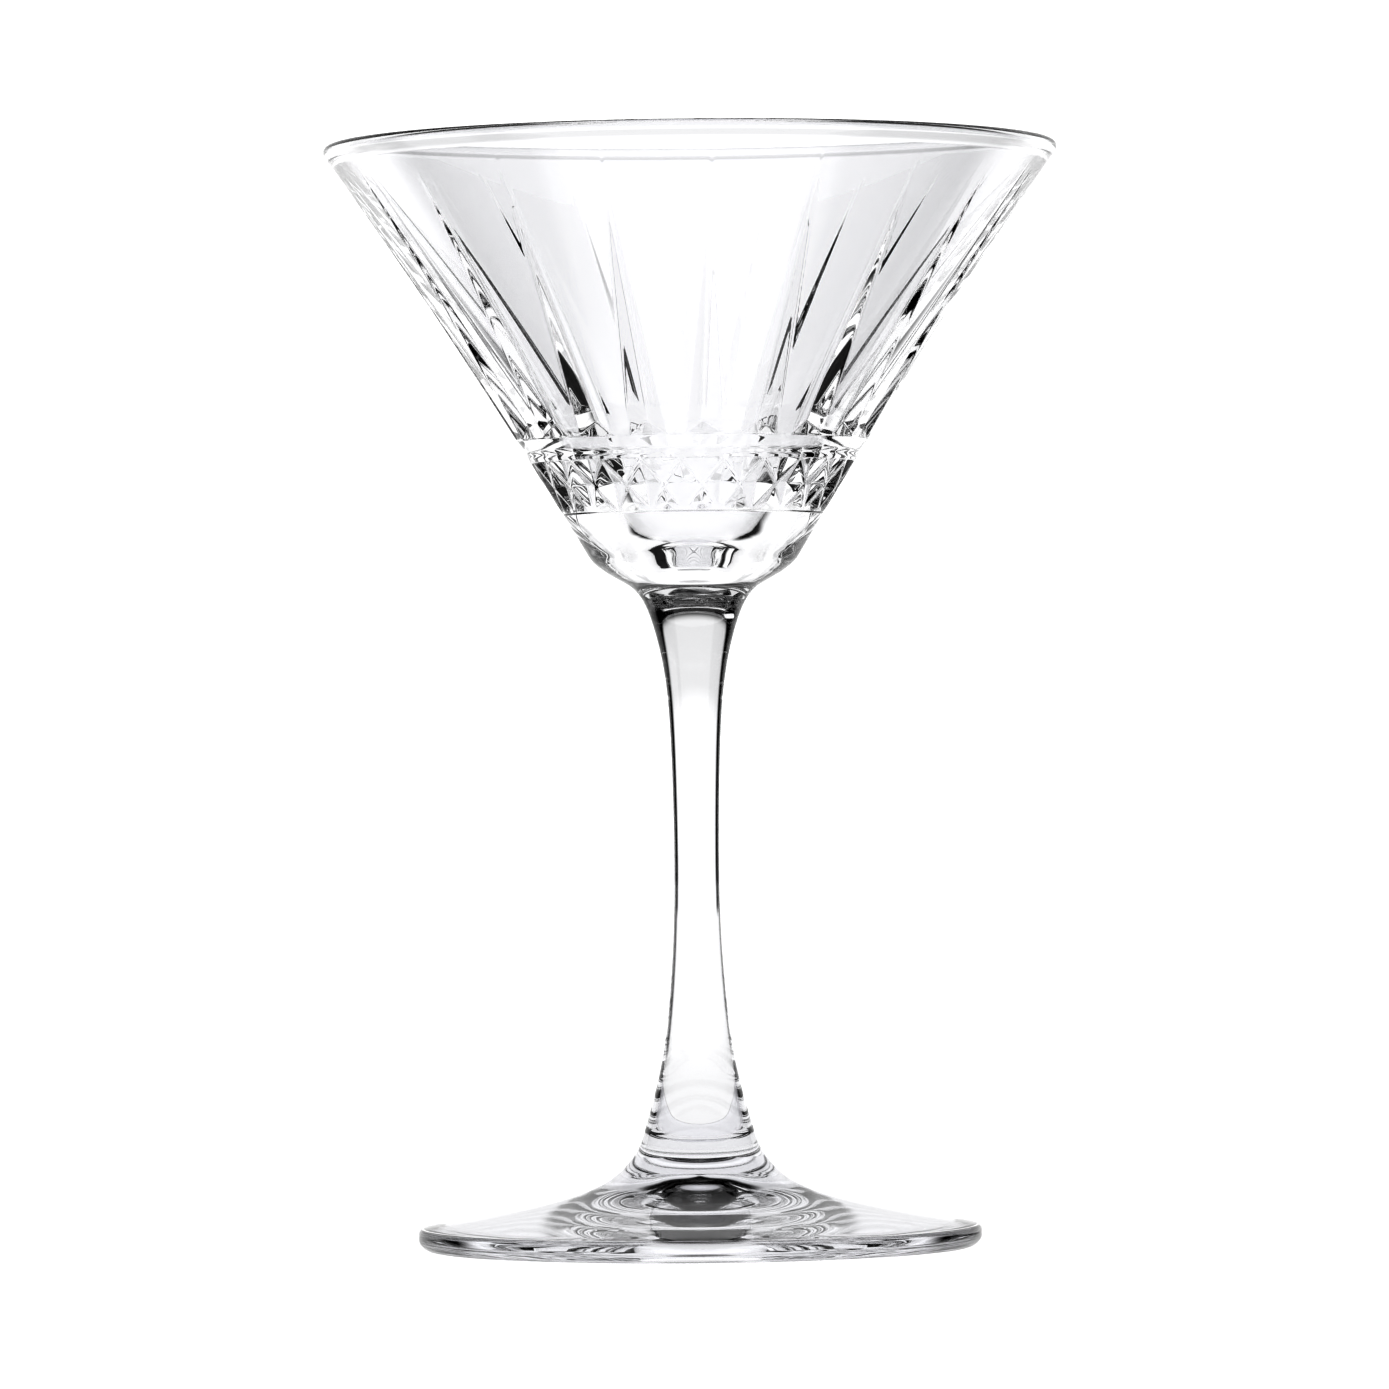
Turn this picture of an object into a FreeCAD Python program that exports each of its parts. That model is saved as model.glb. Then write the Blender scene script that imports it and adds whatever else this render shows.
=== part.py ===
import FreeCAD, Part
import Sketcher
import math
import os

# ---------------------------------------------------------------- driving dimensions (mm, degrees)
# The glass stands on its foot at z = 0 and is turned about the z axis.
SIZES = {
    # joints between the three pieces of glass
    "foot_joint_height": 14.2,
    "foot_joint_radius": 10.1,
    "bowl_joint_height": 101.3,
    "bowl_joint_radius": 9.2,
    # foot, from the domed hollow underneath out to the edge and back over the top
    "kick_height": 7.0,
    "kick_edge_radius": 7.2,
    "kick_edge_height": 4.6,
    "kick_dome_radius": 12.0,
    "hollow_radius": 12.0,
    "hollow_height": 3.7,
    "rest_inner_radius": 39.5,
    "rest_outer_radius": 41.6,
    "foot_radius": 43.25,
    "foot_edge_height": 1.9,
    "foot_brow_radius": 41.9,
    "foot_brow_height": 3.6,
    "apron_radius": 24.0,
    "apron_height": 6.9,
    "flare_radius": 14.4,
    "flare_height": 10.2,
    # stem, from the foot up
    "root_sweep_radius": 34.0,
    "root_radius": 8.2,
    "root_height": 18.8,
    "calf_radius": 6.0,
    "calf_height": 27.0,
    "shin_radius": 4.5,
    "shin_height": 37.0,
    "waist_radius": 3.45,
    "waist_height": 60.0,
    "neck_radius": 3.95,
    "neck_height": 80.5,
    "throat_radius": 4.75,
    "throat_height": 88.7,
    "horn_radius": 6.3,
    "horn_height": 95.5,
    # bowl, outside, from the stem up
    "shoulder_radius": 13.4,
    "shoulder_height": 103.9,
    "hip_radius": 16.15,
    "hip_height": 106.65,
    "band_base_radius": 20.0,
    "band_base_height": 112.9,
    "band_top_radius": 24.85,
    "band_top_height": 120.7,
    "lip_radius": 25.45,
    "lip_height": 121.4,
    "groove_radius": 25.0,
    "groove_height": 122.2,
    "collar_radius": 26.9,
    "collar_height": 124.0,
    "wall_sweep_radius": 820.0,
    "rim_radius": 56.35,
    "rim_height": 168.4,
    # bowl, inside
    "mouth_radius": 54.9,
    "mouth_height": 169.4,
    "basin_radius": 11.5,
    "basin_height": 113.3,
    "floor_height": 107.6,
    # cut pattern
    "pattern_turn": -5.4,
    "flute_count": 20,
    "flute_width": 6.7,
    "flute_end_radius": 27.0,
    "flute_end_height": 2.3,
    "flute_tip_radius": 52.8,
    "flute_tip_height": 163.3,
    "flute_clearance": 1.6,
    "diamond_count": 24,
    "hollow_depth": 1.0,
    "ridge_depth": 0.05,
    "cutter_margin": 3.0,
}

doc = FreeCAD.newDocument("martini_glass")
sheet = doc.addObject("Spreadsheet::Sheet", "Sizes")
for row, (alias, value) in enumerate(SIZES.items(), start=1):
    sheet.set(f"A{row}", alias)
    sheet.set(f"B{row}", str(value))
    sheet.setAlias(f"B{row}", alias)
doc.recompute()


def size(alias):
    """The number held in one cell of the sheet."""
    return float(sheet.get(alias))


def point(station):
    """Radius and height of a station: a pair of aliases, or None where the value is zero."""
    return [size(alias) if alias else 0.0 for alias in station]


# the first flute and the first diamond corner lie half a flute round from the seam of the turned wall
FIRST_CUT = 180 / size("flute_count")

# facets closer than this share an edge
SEWING_GAP = 1e-6


# ---------------------------------------------------------------- turned sections
def origin_plane(body, role):
    return next(f for f in body.Origin.OriginFeatures if f.Role == role)


def arc_through(start, end, heading):
    """Circle arc that leaves start along heading and arrives at end: centre, radius, turns left."""
    chord = (end[0] - start[0], end[1] - start[1])
    normal = (-heading[1], heading[0])
    offset = (chord[0] ** 2 + chord[1] ** 2) / (2 * (chord[0] * normal[0] + chord[1] * normal[1]))
    centre = (start[0] + offset * normal[0], start[1] + offset * normal[1])
    return centre, abs(offset), offset > 0


def arc_of_radius(start, end, radius):
    """Flat arc of a stated radius from start to end that turns right: centre, radius, turns left."""
    chord = (end[0] - start[0], end[1] - start[1])
    half = math.hypot(*chord) / 2
    rise = math.sqrt(radius ** 2 - half ** 2)
    normal = (chord[1] / (2 * half), -chord[0] / (2 * half))
    centre = ((start[0] + end[0]) / 2 + rise * normal[0], (start[1] + end[1]) / 2 + rise * normal[1])
    return centre, radius, False


def add_arc(sketch, start, end, centre, radius, left):
    """Adds the arc and gives its index, its first and last point and the heading at its end."""
    begin = math.atan2(start[1] - centre[1], start[0] - centre[0])
    finish = math.atan2(end[1] - centre[1], end[0] - centre[0])
    circle = Part.Circle(FreeCAD.Vector(*centre, 0), FreeCAD.Vector(0, 0, 1), radius)
    angles = (begin, finish) if left else (finish, begin)
    index = sketch.addGeometry(Part.ArcOfCircle(circle, *angles), False)
    side = 1 if left else -1
    heading = (-side * math.sin(finish), side * math.cos(finish))
    return index, (1, 2) if left else (2, 1), heading


def turned(label, stations):
    """A body turned from a half section. Each station is (radius alias, height alias, run), where run
    says how the outline comes to it: line, smooth (an arc that carries on) or the alias of a radius."""
    body = doc.addObject("PartDesign::Body", label)
    body.Label = label
    sketch = body.newObject("Sketcher::SketchObject", label + "_section")
    sketch.AttachmentSupport = [(origin_plane(body, "XZ_Plane"), "")]
    sketch.MapMode = "FlatFace"
    count = len(stations)
    runs = []
    heading = None
    for index, station in enumerate(stations):
        start = point(stations[index - 1][:2])
        end = point(station[:2])
        run = station[2]
        if run == "line":
            line = Part.LineSegment(FreeCAD.Vector(*start, 0), FreeCAD.Vector(*end, 0))
            length = math.dist(start, end)
            heading = ((end[0] - start[0]) / length, (end[1] - start[1]) / length)
            runs.append((sketch.addGeometry(line, False), (1, 2)))
        else:
            smooth = run == "smooth"
            shape = arc_through(start, end, heading) if smooth else arc_of_radius(start, end, size(run))
            geometry, ends, heading = add_arc(sketch, start, end, *shape)
            runs.append((geometry, ends))
    for index, station in enumerate(stations):
        before, (_, tail) = runs[index]
        after, (head, _) = runs[(index + 1) % count]
        following = stations[(index + 1) % count][2]
        kind = "Tangent" if following == "smooth" else "Coincident"
        sketch.addConstraint(Sketcher.Constraint(kind, before, tail, after, head))
        for alias, name, axis in zip(station[:2], ("DistanceX", "DistanceY"), (-2, -1)):
            if alias:
                mark = sketch.addConstraint(Sketcher.Constraint(name, -1, 1, before, tail, size(alias)))
                sketch.setExpression(f"Constraints[{mark}]", f"Sizes.{alias}")
            else:
                sketch.addConstraint(Sketcher.Constraint("PointOnObject", before, tail, axis))
        if station[2] not in ("line", "smooth"):
            mark = sketch.addConstraint(Sketcher.Constraint("Radius", before, size(station[2])))
            sketch.setExpression(f"Constraints[{mark}]", f"Sizes.{station[2]}")
    turn = body.newObject("PartDesign::Revolution", label + "_turned")
    turn.Profile = sketch
    turn.ReferenceAxis = (sketch, ["V_Axis"])
    turn.Angle = 360
    doc.recompute()
    return body


# ---------------------------------------------------------------- foot
foot = turned("foot", [
    (None, "foot_joint_height", "line"),
    (None, "kick_height", "line"),
    ("kick_edge_radius", "kick_edge_height", "kick_dome_radius"),
    ("hollow_radius", "hollow_height", "line"),
    ("rest_inner_radius", None, "line"),
    ("rest_outer_radius", None, "line"),
    ("foot_radius", "foot_edge_height", "smooth"),
    ("foot_brow_radius", "foot_brow_height", "smooth"),
    ("apron_radius", "apron_height", "line"),
    ("flare_radius", "flare_height", "smooth"),
    ("foot_joint_radius", "foot_joint_height", "smooth"),
])

# ---------------------------------------------------------------- stem
stem = turned("stem", [
    (None, "bowl_joint_height", "line"),
    (None, "foot_joint_height", "line"),
    ("foot_joint_radius", "foot_joint_height", "line"),
    ("root_radius", "root_height", "root_sweep_radius"),
    ("calf_radius", "calf_height", "smooth"),
    ("shin_radius", "shin_height", "smooth"),
    ("waist_radius", "waist_height", "smooth"),
    ("neck_radius", "neck_height", "smooth"),
    ("throat_radius", "throat_height", "smooth"),
    ("horn_radius", "horn_height", "smooth"),
    ("bowl_joint_radius", "bowl_joint_height", "smooth"),
])

# ---------------------------------------------------------------- bowl
blank = turned("bowl_blank", [
    (None, "bowl_joint_height", "line"),
    ("bowl_joint_radius", "bowl_joint_height", "line"),
    ("shoulder_radius", "shoulder_height", "line"),
    ("hip_radius", "hip_height", "smooth"),
    ("band_base_radius", "band_base_height", "line"),
    ("band_top_radius", "band_top_height", "line"),
    ("lip_radius", "lip_height", "line"),
    ("groove_radius", "groove_height", "line"),
    ("collar_radius", "collar_height", "line"),
    ("rim_radius", "rim_height", "wall_sweep_radius"),
    ("mouth_radius", "mouth_height", "smooth"),
    ("basin_radius", "basin_height", "line"),
    (None, "floor_height", "smooth"),
])


# ---------------------------------------------------------------- flutes
def fluting_section(body, name, radius, height):
    """V section of a flute on an upright plane across its length, with the root uppermost."""
    sketch = body.newObject("Sketcher::SketchObject", name)
    turn = FreeCAD.Placement(FreeCAD.Vector(), FreeCAD.Rotation(FreeCAD.Vector(0, 1, 0), FIRST_CUT))
    sketch.AttachmentSupport = [(origin_plane(body, "YZ_Plane"), "")]
    sketch.MapMode = "FlatFace"
    sketch.AttachmentOffset = turn * FreeCAD.Placement(FreeCAD.Vector(0, 0, radius), FreeCAD.Rotation())
    half = size("flute_width") / 2 * size("flute_clearance")
    base = height - size("flute_end_height") * size("flute_clearance")
    corners = [(0, height), (-half, base), (half, base)]
    for index in range(3):
        ends = [FreeCAD.Vector(*corners[(index + step) % 3], 0) for step in (0, 1)]
        sketch.addGeometry(Part.LineSegment(*ends), False)
    for index in range(3):
        sketch.addConstraint(Sketcher.Constraint("Coincident", index, 2, (index + 1) % 3, 1))
    sketch.addConstraint(Sketcher.Constraint("PointOnObject", 0, 1, -2))
    sketch.addConstraint(Sketcher.Constraint("Symmetric", 1, 1, 1, 2, -2))
    sketch.addConstraint(Sketcher.Constraint("DistanceY", -1, 1, 0, 1, height))
    width = sketch.addConstraint(Sketcher.Constraint("DistanceX", 1, 1, 1, 2, 2 * half))
    sketch.setExpression(f"Constraints[{width}]", "Sizes.flute_width * Sizes.flute_clearance")
    drop = sketch.addConstraint(Sketcher.Constraint("DistanceY", 1, 1, 0, 1, height - base))
    sketch.setExpression(f"Constraints[{drop}]", "Sizes.flute_end_height * Sizes.flute_clearance")
    return sketch


def cut_flutes(body):
    """Long V cuts round the outside of the wall. Each runs from an upright end by the collar, where it
    is deepest, up to a tip where its root comes out of the wall, in two straight runs that follow the
    wall's slight sweep."""
    start = (size("flute_end_radius"), size("collar_height") + size("flute_end_height"))
    tip = (size("flute_tip_radius"), size("flute_tip_height"))
    length = math.dist(start, tip)
    sweep = length ** 2 / (8 * size("wall_sweep_radius"))
    slope = ((tip[0] - start[0]) / length, (tip[1] - start[1]) / length)
    middle = ((start[0] + tip[0]) / 2 - sweep * slope[1], (start[1] + tip[1]) / 2 + sweep * slope[0])
    turn = FreeCAD.Rotation(FreeCAD.Vector(0, 0, 1), FIRST_CUT)
    cuts = []
    for name, low, high in (("flute_lower", start, middle), ("flute_upper", middle, tip)):
        section = fluting_section(body, name + "_section", *low)
        doc.recompute()
        cut = body.newObject("PartDesign::Pocket", name)
        cut.Profile = section
        cut.UseCustomVector = True
        cut.Direction = turn.multVec(FreeCAD.Vector(high[0] - low[0], 0, high[1] - low[1]))
        cut.AlongSketchNormal = False
        cut.Length = math.dist(low, high)
        doc.recompute()
        cuts.append(cut)
    ring = body.newObject("PartDesign::PolarPattern", "flutes")
    ring.Originals = cuts
    ring.Axis = (origin_plane(body, "Z_Axis"), [""])
    ring.Angle = 360
    ring.setExpression("Occurrences", "Sizes.flute_count")
    body.Tip = ring
    doc.recompute()


# ---------------------------------------------------------------- diamond band
def band_cutter():
    """Ring that cuts the diamonds: its inner face is made of flat facets, which meet on ridges along the
    sides of the diamonds and in creases from the hollow middle of each diamond to its corners."""
    count = 2 * int(size("diamond_count"))
    rows = [
        (size("band_base_radius"), size("band_base_height")),
        ((size("band_base_radius") + size("band_top_radius")) / 2,
         (size("band_base_height") + size("band_top_height")) / 2),
        (size("band_top_radius"), size("band_top_height")),
    ]
    outer = size("band_top_radius") + size("cutter_margin")

    def corner(radius, height, step):
        angle = math.radians(FIRST_CUT + 360 / count * step)
        return FreeCAD.Vector(radius * math.cos(angle), radius * math.sin(angle), height)

    def faceted(row, step):
        middle = (row + step) % 2 == 0
        depth = size("hollow_depth") if middle else size("ridge_depth")
        return corner(rows[row][0] - depth, rows[row][1], step)

    def face(*corners):
        return Part.Face(Part.makePolygon([*corners, corners[0]]))

    faces = []
    for step in range(count):
        for row in (0, 1):
            near, far = faceted(row, step), faceted(row, step + 1)
            high_near, high_far = faceted(row + 1, step), faceted(row + 1, step + 1)
            if (row + step) % 2 == 1:
                faces += [face(near, far, high_far), face(near, high_far, high_near)]
            else:
                faces += [face(near, far, high_near), face(far, high_far, high_near)]
        for row in (0, 2):
            height = rows[row][1]
            faces.append(face(faceted(row, step), faceted(row, step + 1),
                              corner(outer, height, step + 1), corner(outer, height, step)))
        faces.append(face(corner(outer, rows[0][1], step), corner(outer, rows[0][1], step + 1),
                          corner(outer, rows[2][1], step + 1), corner(outer, rows[2][1], step)))
    solid = Part.makeSolid(Part.makeShell(faces))
    solid.fix(SEWING_GAP, SEWING_GAP, SEWING_GAP)
    cutter = doc.addObject("Part::Feature", "band_cutter")
    cutter.Shape = solid
    return cutter


cut_flutes(blank)
cutter = band_cutter()
bowl = doc.addObject("Part::Cut", "bowl")
bowl.Label = "bowl"
bowl.Base = blank
bowl.Tool = cutter
bowl.Placement.Rotation = FreeCAD.Rotation(FreeCAD.Vector(0, 0, 1), size("pattern_turn"))
bowl.setExpression("Placement.Rotation.Angle", "Sizes.pattern_turn")
doc.recompute()

# ---------------------------------------------------------------- checks and files
for item in doc.Objects:
    if "Invalid" in item.State or "Error" in item.State:
        raise RuntimeError(f"{item.Name} failed: {item.State}")
os.makedirs("parts", exist_ok=True)
for piece in (foot, stem, bowl):
    shape = piece.Shape
    if shape.isNull() or not shape.isValid() or len(shape.Solids) != 1:
        raise RuntimeError(f"{piece.Label} is not one sound solid")
    shape.exportStep(f"parts/{piece.Label}.step")
    box = shape.optimalBoundingBox()
    print(piece.Label, round(shape.Volume), "mm3", round(box.XMax, 2), round(box.ZMin, 2), round(box.ZMax, 2))
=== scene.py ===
import math

import bpy
import numpy as np
from mathutils import Euler, Matrix


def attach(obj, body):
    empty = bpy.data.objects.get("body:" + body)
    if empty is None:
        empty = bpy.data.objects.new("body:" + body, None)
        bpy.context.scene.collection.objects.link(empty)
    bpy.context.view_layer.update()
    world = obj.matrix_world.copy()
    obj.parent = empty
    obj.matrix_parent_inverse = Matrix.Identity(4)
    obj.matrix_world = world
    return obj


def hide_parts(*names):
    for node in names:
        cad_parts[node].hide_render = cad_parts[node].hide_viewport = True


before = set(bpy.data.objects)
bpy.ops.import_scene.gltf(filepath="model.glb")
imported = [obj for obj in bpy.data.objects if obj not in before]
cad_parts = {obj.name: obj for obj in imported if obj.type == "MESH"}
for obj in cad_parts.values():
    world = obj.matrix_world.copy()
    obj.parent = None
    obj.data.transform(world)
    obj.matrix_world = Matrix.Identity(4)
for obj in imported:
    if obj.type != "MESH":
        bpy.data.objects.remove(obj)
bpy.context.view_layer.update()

MM = 0.001
COLUMNS = 1280
PLAIN_COLUMNS = 480
CORNER_STEPS = 7

# ---------------------------------------------------------------- cut pattern (mm, degrees)
PATTERN_PHASE = 3.6
FLUTES = 20
FLUTE_FLANK = 0.687
FLUTE_START = (27.0, 126.3)
FLUTE_TIP = (52.8, 163.3)
FLUTE_BOW = 0.38
EDGE_ROUNDING = 0.16
DIAMONDS = 24
DIAMOND_DEPTH = 1.0
DIAMOND_LAND = 0.10
CREASE_ROUNDING = 0.10
BAND_FADE = 0.14
BAND_BASE = (20.0, 112.9)
BAND_TOP = (24.85, 120.7)
COLLAR = (26.9, 124.0)
RIM = (56.35, 168.4)
WALL_SWEEP = 820.0


# ---------------------------------------------------------------- outlines
def spaced(length, step):
    """Number of points that divides the length into steps of about the given size."""
    return max(2, int(round(length / step)) + 1)


def spline(points, step):
    """Natural cubic line through the points, sampled about every step."""
    p = np.array(points, float)
    t = np.concatenate([[0.0], np.cumsum(np.hypot(*np.diff(p, axis=0).T))])
    h = np.diff(t)
    count = len(p)
    system = np.eye(count)
    right = np.zeros((count, 2))
    for i in range(1, count - 1):
        system[i, i - 1:i + 2] = h[i - 1], 2 * (h[i - 1] + h[i]), h[i]
        right[i] = 6 * ((p[i + 1] - p[i]) / h[i] - (p[i] - p[i - 1]) / h[i - 1])
    bend = np.linalg.solve(system, right)
    s = np.linspace(0, t[-1], spaced(t[-1], step))
    k = np.clip(np.searchsorted(t, s, side="right") - 1, 0, count - 2)
    hk = h[k][:, None]
    u = (s - t[k])[:, None]
    v = (t[k + 1] - s)[:, None]
    return ((bend[k] * v ** 3 + bend[k + 1] * u ** 3) / (6 * hk)
            + (p[k] / hk - bend[k] * hk / 6) * v + (p[k + 1] / hk - bend[k + 1] * hk / 6) * u)


def rounded(points, cuts, step):
    """Straight runs between the points with each inner corner rounded over the length in cuts."""
    p = [np.array(q, float) for q in points]
    line = [p[0]]
    for i in range(1, len(p) - 1):
        before = (p[i - 1] - p[i]) / np.linalg.norm(p[i - 1] - p[i])
        after = (p[i + 1] - p[i]) / np.linalg.norm(p[i + 1] - p[i])
        first, last = p[i] + cuts[i - 1] * before, p[i] + cuts[i - 1] * after
        for u in np.linspace(0, 1, CORNER_STEPS):
            line.append((1 - u) ** 2 * first + 2 * u * (1 - u) * p[i] + u ** 2 * last)
    line.append(p[-1])
    filled = [line[0]]
    for a, b in zip(line, line[1:]):
        length = np.linalg.norm(b - a)
        if length < 1e-6:
            continue
        for u in np.linspace(0, 1, spaced(length, step))[1:]:
            filled.append(a + u * (b - a))
    return np.array(filled)


def joined(*runs):
    """One outline from runs that follow each other, each meeting the next at a shared point."""
    line = [runs[0]]
    for run in runs[1:]:
        line.append(run[1:])
    return np.concatenate(line)


# ---------------------------------------------------------------- meshes
def bearings(columns):
    """Angle of each column of a turned mesh, from the front towards +X."""
    return np.arange(columns) * 2 * math.pi / columns


ANGLES = bearings(COLUMNS)


def turned(name, radius, height, cap_first=False, cap_last=False):
    """Mesh from a grid of radii and heights, one row per outline point and one column per angle from
    the front. A cap closes the first or last row on the axis."""
    rows, columns = radius.shape
    angles = bearings(columns)
    grid = np.stack([radius * np.sin(angles), -radius * np.cos(angles), height], axis=-1) * MM
    vertices = grid.reshape(-1, 3)
    column = np.arange(columns)
    following = (column + 1) % columns
    faces = []
    for row in range(rows - 1):
        low, high = row * columns, (row + 1) * columns
        faces.append(np.stack([low + column, low + following, high + following, high + column], axis=1))
    quads = np.concatenate(faces)
    loops = [quads.ravel()]
    starts = [np.arange(len(quads)) * 4]
    used = len(quads) * 4
    caps = []
    if cap_first:
        caps.append((0, True))
    if cap_last:
        caps.append(((rows - 1) * columns, False))
    for base, first in caps:
        centre = len(vertices)
        vertices = np.concatenate([vertices, [[0.0, 0.0, vertices[base:base + columns, 2].mean()]]])
        hub = np.full(columns, centre)
        fan = [hub, base + following, base + column] if first else [hub, base + column, base + following]
        triangles = np.stack(fan, axis=1)
        loops.append(triangles.ravel())
        starts.append(used + np.arange(columns) * 3)
        used += columns * 3
    loops = np.concatenate(loops)
    starts = np.concatenate(starts)
    mesh = bpy.data.meshes.new(name)
    mesh.vertices.add(len(vertices))
    mesh.vertices.foreach_set("co", vertices.ravel())
    mesh.loops.add(len(loops))
    mesh.loops.foreach_set("vertex_index", loops.astype(np.int32))
    mesh.polygons.add(len(starts))
    mesh.polygons.foreach_set("loop_start", starts.astype(np.int32))
    mesh.update(calc_edges=True)
    mesh.validate()
    mesh.polygons.foreach_set("use_smooth", np.ones(len(starts), bool))
    mesh.update()
    piece = bpy.data.objects.new(name, mesh)
    bpy.context.scene.collection.objects.link(piece)
    return piece


def wide(outline, columns=COLUMNS):
    """The outline's radii and heights repeated for every column."""
    return np.repeat(outline[:, :1], columns, axis=1), np.repeat(outline[:, 1:], columns, axis=1)


def soft_min(a, b, k):
    """The smaller of two values, with the crease between them rounded over about k."""
    mix = np.clip(0.5 + (b - a) / (2 * k), 0, 1)
    return b + (a - b) * mix - k * mix * (1 - mix)


def soft_max(a, b, k):
    """The larger of two values, with the hollow between them rounded over about k."""
    return -soft_min(-a, -b, k)


# ---------------------------------------------------------------- bowl relief
def wall_radius(z):
    """Outer radius of the plain wall above the collar, a flat arc between collar and rim."""
    chord = math.dist(COLLAR, RIM)
    rise = RIM[1] - COLLAR[1]
    bow = chord ** 2 / (8 * WALL_SWEEP) * chord / rise
    t = (z - COLLAR[1]) / rise
    return COLLAR[0] + (RIM[0] - COLLAR[0]) * t - 4 * bow * t * (1 - t)


def root_radius(z):
    """Radius of the root of a flute."""
    t = (z - FLUTE_START[1]) / (FLUTE_TIP[1] - FLUTE_START[1])
    return FLUTE_START[0] + (FLUTE_TIP[0] - FLUTE_START[0]) * t - 4 * FLUTE_BOW * t * (1 - t)


def fluted(radius, height):
    """Radii of the wall with the flutes cut into it."""
    pitch = 2 * math.pi / FLUTES
    across = (ANGLES - math.radians(PATTERN_PHASE) + pitch / 2) % pitch - pitch / 2
    cut = radius.copy()
    for _ in range(3):
        side = np.sqrt((cut * np.sin(across)) ** 2 + 0.12 ** 2) - 0.12
        flank = root_radius(height + FLUTE_FLANK * side)
        groove = soft_max(flank, np.full_like(flank, FLUTE_START[0]), EDGE_ROUNDING) / np.cos(across)
        cut = soft_min(radius, groove, EDGE_ROUNDING)
    return cut


def diamonds(radius, height):
    """Radii and heights of the band with its hollow diamonds, cut square to the slope of the band."""
    u = DIAMONDS * (ANGLES - math.radians(PATTERN_PHASE)) / (2 * math.pi)
    v = (height - BAND_BASE[1]) / (BAND_TOP[1] - BAND_BASE[1]) - 0.5

    def ridge(x):
        """One on each whole number, falling evenly to zero half way between."""
        return 1 - 2 * np.abs(x - np.round(x))

    near = soft_max(ridge(u + v), ridge(u - v), CREASE_ROUNDING)
    hollow = DIAMOND_DEPTH * soft_max(1 - DIAMOND_LAND - near, np.zeros_like(near), CREASE_ROUNDING)
    fade = np.clip((v + 0.5) / BAND_FADE, 0, 1)
    hollow = hollow * fade ** 2 * (3 - 2 * fade)
    slope = np.array(BAND_TOP) - np.array(BAND_BASE)
    slope /= np.linalg.norm(slope)
    return radius - hollow * slope[1], height + hollow * slope[0]


# ---------------------------------------------------------------- the three pieces of glass
FOOT_JOINT = (10.1, 14.2)
BOWL_JOINT = (9.2, 101.3)
SHOULDER = (13.4, 103.9)

base = spline([(7.15, 97.3), (7.9, 99.3), BOWL_JOINT, (11.4, 102.75), SHOULDER], 0.25)
base = base[base[:, 1] >= BOWL_JOINT[1] - 1e-9]
base[0] = BOWL_JOINT
hip = joined(base, rounded([SHOULDER, (15.6, 105.5), BAND_BASE], [1.2], 0.3))
band = np.linspace(BAND_BASE, BAND_TOP, 80)
shelf = rounded([BAND_TOP, (25.35, 121.5), (25.5, 122.3), COLLAR, (27.6, 125.0)], [0.3, 0.4, 0.3], 0.12)
shelf = shelf[shelf[:, 1] < 124.2]
wall_z = np.concatenate([np.arange(124.25, 128, 0.12), np.arange(128, 165, 0.3), np.arange(165, 168.0, 0.5)])
wall = np.stack([wall_radius(wall_z), wall_z], axis=1)
rim = spline([tuple(wall[-1]), RIM, (56.45, 169.05), (56.05, 169.65), (55.4, 169.78), (54.8, 169.45),
              (54.45, 168.9), (54.2, 168.3)], 0.15)
lining = rounded([(54.2, 168.3), (9.4, 110.7), (7.6, 109.3)], [1.5], 1.2)
floor = rounded([(7.6, 109.3), (5.2, 108.0), (2.6, 108.05), (0.15, 107.9)], [0.7, 1.0], 0.10)

wall_rows, wall_heights = wide(wall)
bowl_parts = [
    wide(hip),
    diamonds(*wide(band)),
    wide(shelf[1:]),
    (fluted(wall_rows, wall_heights), wall_heights),
    wide(joined(rim, lining, floor)[1:]),
]
bowl_radius, bowl_height = (np.concatenate(grids) for grids in zip(*bowl_parts))
bowl = turned("bowl_glass", bowl_radius, bowl_height, cap_last=True)

stem_line = spline([(12.6, 11.8), FOOT_JOINT, (8.2, 18.8), (6.0, 27.0), (4.5, 37.0), (3.7, 48.0),
                    (3.45, 60.0), (3.6, 71.0), (3.95, 80.5), (4.75, 88.7), (6.3, 95.5), BOWL_JOINT,
                    SHOULDER], 0.3)
between = (stem_line[:, 1] > FOOT_JOINT[1] + 0.1) & (stem_line[:, 1] < BOWL_JOINT[1] - 0.1)
stem_line = np.concatenate([[FOOT_JOINT], stem_line[between], [BOWL_JOINT]])
stem = turned("stem_glass", *wide(stem_line, PLAIN_COLUMNS))

# the underside from the axis out, the edge, and the top as far as the start of the rise to the stem
foot_low = rounded([(0.1, 7.0), (3.6, 6.5), (7.2, 4.6), (9.0, 4.2), (12.0, 3.7), (39.5, 0.0), (42.2, 0.0),
                    (43.35, 1.2), (43.3, 3.2), (41.9, 3.6), (33.0, 5.25)],
                   [1.5, 1.8, 1.0, 3.0, 2.0, 0.7, 0.6, 0.7, 1.0], 0.3)
foot_low = foot_low[:-12]
foot_rise = spline([tuple(foot_low[-1]), (24.0, 6.9), (17.6, 8.7), (14.4, 10.2), (11.8, 12.2), FOOT_JOINT],
                   0.3)
foot = turned("foot_glass", *wide(joined(foot_low, foot_rise), PLAIN_COLUMNS), cap_first=True)


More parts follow.
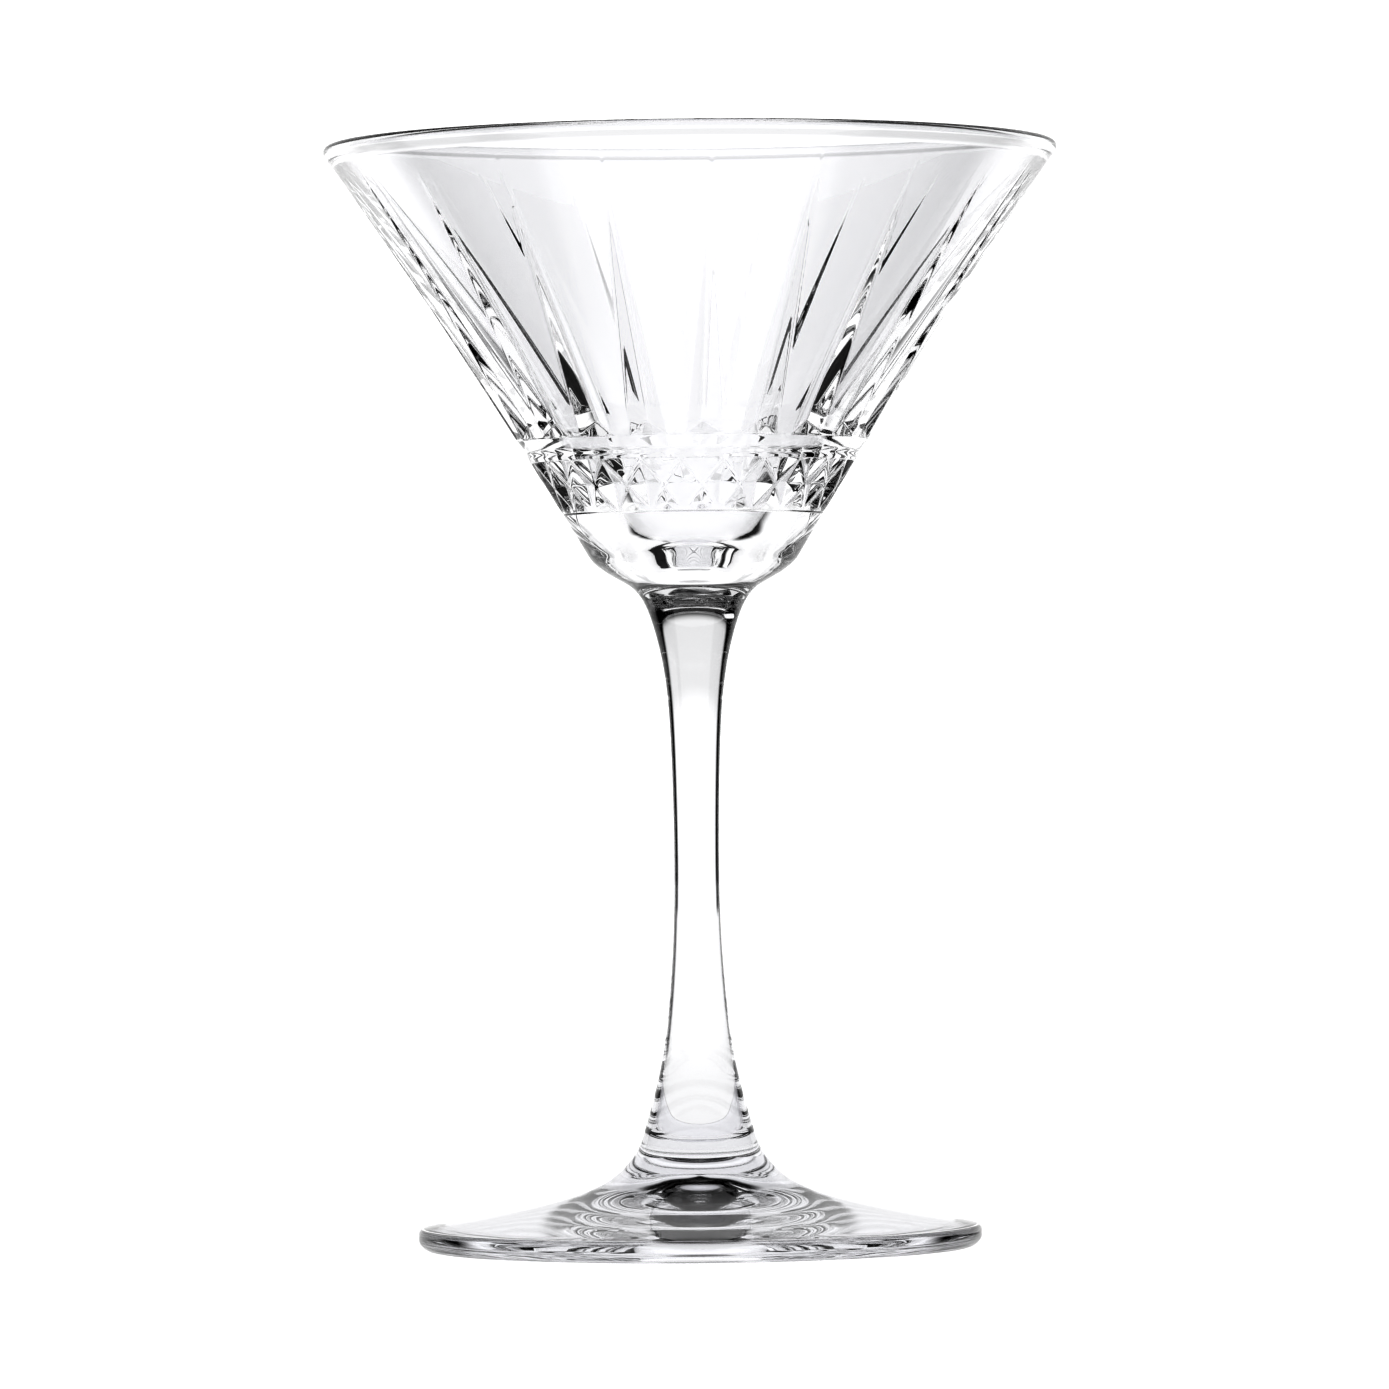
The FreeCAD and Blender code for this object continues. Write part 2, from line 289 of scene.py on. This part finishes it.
# ---------------------------------------------------------------- glass
def glass(name, colour, grain):
    material = bpy.data.materials.new(name)
    material.use_nodes = True
    nodes, links = material.node_tree.nodes, material.node_tree.links
    shader = nodes["Principled BSDF"]
    shader.inputs["Base Color"].default_value = (*colour, 1)
    shader.inputs["Transmission Weight"].default_value = 1.0
    shader.inputs["IOR"].default_value = 1.52
    place = nodes.new("ShaderNodeTexCoord")
    ripple = nodes.new("ShaderNodeTexNoise")
    ripple.inputs["Scale"].default_value = grain
    ripple.inputs["Detail"].default_value = 2.0
    links.new(place.outputs["Object"], ripple.inputs["Vector"])
    bump = nodes.new("ShaderNodeBump")
    bump.inputs["Strength"].default_value = 0.03
    bump.inputs["Distance"].default_value = 0.00015
    links.new(ripple.outputs["Fac"], bump.inputs["Height"])
    links.new(bump.outputs["Normal"], shader.inputs["Normal"])
    haze = nodes.new("ShaderNodeMapRange")
    haze.inputs["To Min"].default_value = 0.0
    haze.inputs["To Max"].default_value = 0.01
    links.new(ripple.outputs["Fac"], haze.inputs["Value"])
    links.new(haze.outputs["Result"], shader.inputs["Roughness"])
    return material


for piece, slot, node, colour, grain in (
    (bowl, "glass_bowl", "bowl", (0.985, 0.985, 0.993), 60.0),
    (stem, "glass_stem", "stem", (0.985, 0.985, 0.993), 80.0),
    # the foot is a greyer copy of the bowl and stem glass: its darker colour is painted shade for the foot's
    # greyer tone
    (foot, "glass_foot", "foot", (0.885, 0.885, 0.91), 50.0),
):
    piece.data.materials.append(glass(slot, colour, grain))
    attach(piece, "root")
    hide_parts(node)

# ---------------------------------------------------------------- studio
FLOOR_RADIUS = 6.0
FLOOR_Z = -0.0002
SHADE_Z = -0.0001
FLOOR_LIGHT = 1.10
BACKDROP_LIGHT = 1.25

# brightness by bearing from straight behind the glass, in degrees towards +X
BACK_WINDOW = [(-180, 0.0), (-52, 0.0), (-43, 1.0), (43, 1.0), (52, 0.0), (180, 0.0)]
SIDE_WINDOW = [(-180, 0.0), (-112, 0.0), (-104, 1.0), (-80, 1.0), (-74, 0.0), (180, 0.0)]
NEAR_FLOOR = [(-180, 1.0), (-125, 1.0), (-117, 0.0), (-66, 0.0), (-54, 1.0), (46, 1.0), (59, 0.0),
              (117, 0.0), (125, 1.0), (180, 1.0)]
# brightness by the sine of the height above the horizon
BACK_RISE = [(0.0, 1.0), (0.06, 1.0), (0.15, 0.80), (0.42, 0.78), (0.66, 0.0), (1.0, 0.0)]
SIDE_RISE = [(0.0, 1.0), (0.14, 1.0), (0.26, 0.0), (1.0, 0.0)]
# shade by distance from the axis, in metres
NEAR_REACH = [(0.0, 0.0), (0.06, 0.0), (0.10, 1.0), (1.0, 1.0)]
SIDE_REACH = [(0.0, 0.0), (0.20, 0.0), (0.34, 1.0), (1.0, 1.0)]
FAR_REACH = [(0.0, 0.0), (0.70, 0.0), (0.95, 1.0), (1.0, 1.0)]
FOOT_REACH = [(0.0, 1.0), (0.05, 1.0), (0.20, 0.0), (1.0, 0.0)]
FOOT_SHADE = 0.08
WINDOW_LIGHT = 1.18


def ramp(tree, stops, source):
    """Smooth grey ramp over a value, from (position, brightness) stops."""
    node = tree.nodes.new("ShaderNodeValToRGB")
    node.color_ramp.interpolation = "EASE"
    while len(node.color_ramp.elements) > 1:
        node.color_ramp.elements.remove(node.color_ramp.elements[-1])
    for index, (position, grey) in enumerate(stops):
        stop = node.color_ramp.elements[0] if index == 0 else node.color_ramp.elements.new(position)
        stop.position = position
        stop.color = (grey, grey, grey, 1)
    tree.links.new(source, node.inputs["Fac"])
    return node.outputs["Color"]


def maths(tree, operation, *values):
    node = tree.nodes.new("ShaderNodeMath")
    node.operation = operation
    for index, value in enumerate(values):
        if isinstance(value, (int, float)):
            node.inputs[index].default_value = value
        else:
            tree.links.new(value, node.inputs[index])
    return node.outputs["Value"]


def around(tree, axes, stops):
    """Brightness of the studio by bearing, measured from straight behind the glass."""
    turn = maths(tree, "ARCTAN2", axes.outputs["X"], axes.outputs["Y"])
    share = maths(tree, "MULTIPLY_ADD", turn, 0.5 / math.pi, 0.5)
    return ramp(tree, [((bearing + 180) / 360, grey) for bearing, grey in stops], share)


def studio_disc(name, z, material):
    bpy.ops.mesh.primitive_circle_add(vertices=96, radius=FLOOR_RADIUS, fill_type="NGON", location=(0, 0, z))
    disc = bpy.context.object
    disc.name = name
    disc.data.materials.append(material)
    return disc


def pale_floor():
    paint = bpy.data.materials.new("pale_floor")
    paint.use_nodes = True
    shader = paint.node_tree.nodes["Principled BSDF"]
    shader.inputs["Base Color"].default_value = (0.12, 0.12, 0.12, 1)
    shader.inputs["Roughness"].default_value = 0.9
    shader.inputs["Emission Color"].default_value = (1, 1, 1, 1)
    shader.inputs["Emission Strength"].default_value = FLOOR_LIGHT
    return paint


floor_disc = studio_disc("studio_floor", FLOOR_Z, pale_floor())

# darkens the floor only where it is seen through the glass or mirrored in it
dark = bpy.data.materials.new("studio_shade")
dark.use_nodes = True
tree = dark.node_tree
tree.nodes.clear()
place = tree.nodes.new("ShaderNodeNewGeometry")
axes = tree.nodes.new("ShaderNodeSeparateXYZ")
tree.links.new(place.outputs["Position"], axes.inputs["Vector"])
reach = maths(tree, "SQRT", maths(tree, "ADD", maths(tree, "POWER", axes.outputs["X"], 2.0),
                                  maths(tree, "POWER", axes.outputs["Y"], 2.0)))
near = ramp(tree, NEAR_REACH, reach)
far = ramp(tree, FAR_REACH, reach)
side_floor = maths(tree, "MULTIPLY", around(tree, axes, SIDE_WINDOW), ramp(tree, SIDE_REACH, reach))
near_dark = maths(tree, "SUBTRACT", 1.0, maths(tree, "MAXIMUM", around(tree, axes, NEAR_FLOOR), side_floor))
far_dark = maths(tree, "SUBTRACT", 1.0, maths(tree, "MAXIMUM", around(tree, axes, BACK_WINDOW),
                                              around(tree, axes, SIDE_WINDOW)))
wedge = maths(tree, "ADD", maths(tree, "MULTIPLY", near_dark, maths(tree, "SUBTRACT", 1.0, far)),
              maths(tree, "MULTIPLY", far_dark, far))
foot_shade = maths(tree, "MULTIPLY", FOOT_SHADE, ramp(tree, FOOT_REACH, reach))
cover = maths(tree, "MAXIMUM", maths(tree, "MULTIPLY", near, wedge), foot_shade)
clear = tree.nodes.new("ShaderNodeBsdfTransparent")
black = tree.nodes.new("ShaderNodeEmission")
black.inputs["Strength"].default_value = 0.0
mix = tree.nodes.new("ShaderNodeMixShader")
tree.links.new(cover, mix.inputs["Fac"])
tree.links.new(clear.outputs["BSDF"], mix.inputs[1])
tree.links.new(black.outputs["Emission"], mix.inputs[2])
tree.links.new(mix.outputs["Shader"], tree.nodes.new("ShaderNodeOutputMaterial").inputs["Surface"])
shade = studio_disc("studio_shade", SHADE_Z, dark)
shade.visible_camera = False
shade.visible_diffuse = False
shade.visible_shadow = False

world = bpy.data.worlds.new("studio")
bpy.context.scene.world = world
world.use_nodes = True
tree = world.node_tree
tree.nodes.clear()
place = tree.nodes.new("ShaderNodeTexCoord")
axes = tree.nodes.new("ShaderNodeSeparateXYZ")
tree.links.new(place.outputs["Generated"], axes.inputs["Vector"])
upward = axes.outputs["Z"]
back_light = maths(tree, "MULTIPLY", around(tree, axes, BACK_WINDOW), ramp(tree, BACK_RISE, upward))
side_light = maths(tree, "MULTIPLY", around(tree, axes, SIDE_WINDOW), ramp(tree, SIDE_RISE, upward))
level = maths(tree, "MAXIMUM", back_light, side_light)
# the camera sees a plain white backdrop; the glass sees the windows
soft = tree.nodes.new("ShaderNodeBackground")
soft.inputs["Color"].default_value = (1, 1, 1, 1)
tree.links.new(maths(tree, "MULTIPLY", level, WINDOW_LIGHT), soft.inputs["Strength"])
plain = tree.nodes.new("ShaderNodeBackground")
plain.inputs["Color"].default_value = (1, 1, 1, 1)
plain.inputs["Strength"].default_value = BACKDROP_LIGHT
ray = tree.nodes.new("ShaderNodeLightPath")
pick = tree.nodes.new("ShaderNodeMixShader")
tree.links.new(ray.outputs["Is Camera Ray"], pick.inputs["Fac"])
tree.links.new(soft.outputs["Background"], pick.inputs[1])
tree.links.new(plain.outputs["Background"], pick.inputs[2])
tree.links.new(pick.outputs["Shader"], tree.nodes.new("ShaderNodeOutputWorld").inputs["Surface"])

# ---------------------------------------------------------------- camera
EYE = (-0.0001, -1.330, 0.0762)
AIM = (-0.0001, 0.0, 0.0851)
ROLL = -0.56
CONTRAST = 0.58
LIGHT_BOUNCES = 32
MIRROR_BOUNCES = 16

camera = bpy.data.objects.new("camera", bpy.data.cameras.new("camera"))
bpy.context.scene.collection.objects.link(camera)
bpy.context.scene.camera = camera
camera.data.sensor_width = 36.0
camera.data.lens = 223.9
camera.data.clip_start = 0.05
camera.data.clip_end = 50
pitch = math.atan2(AIM[2] - EYE[2], AIM[1] - EYE[1])
camera.location = EYE
camera.rotation_mode = "XYZ"
upright = Euler((math.pi / 2 + pitch, 0, 0)).to_matrix()
roll = Matrix.Rotation(math.radians(ROLL), 3, "Z")
camera.rotation_euler = (upright @ roll).to_euler("XYZ")

scene = bpy.context.scene
scene.view_settings.view_transform = "Standard"
scene.view_settings.gamma = CONTRAST
scene.cycles.max_bounces = LIGHT_BOUNCES
scene.cycles.transmission_bounces = LIGHT_BOUNCES
scene.cycles.glossy_bounces = MIRROR_BOUNCES
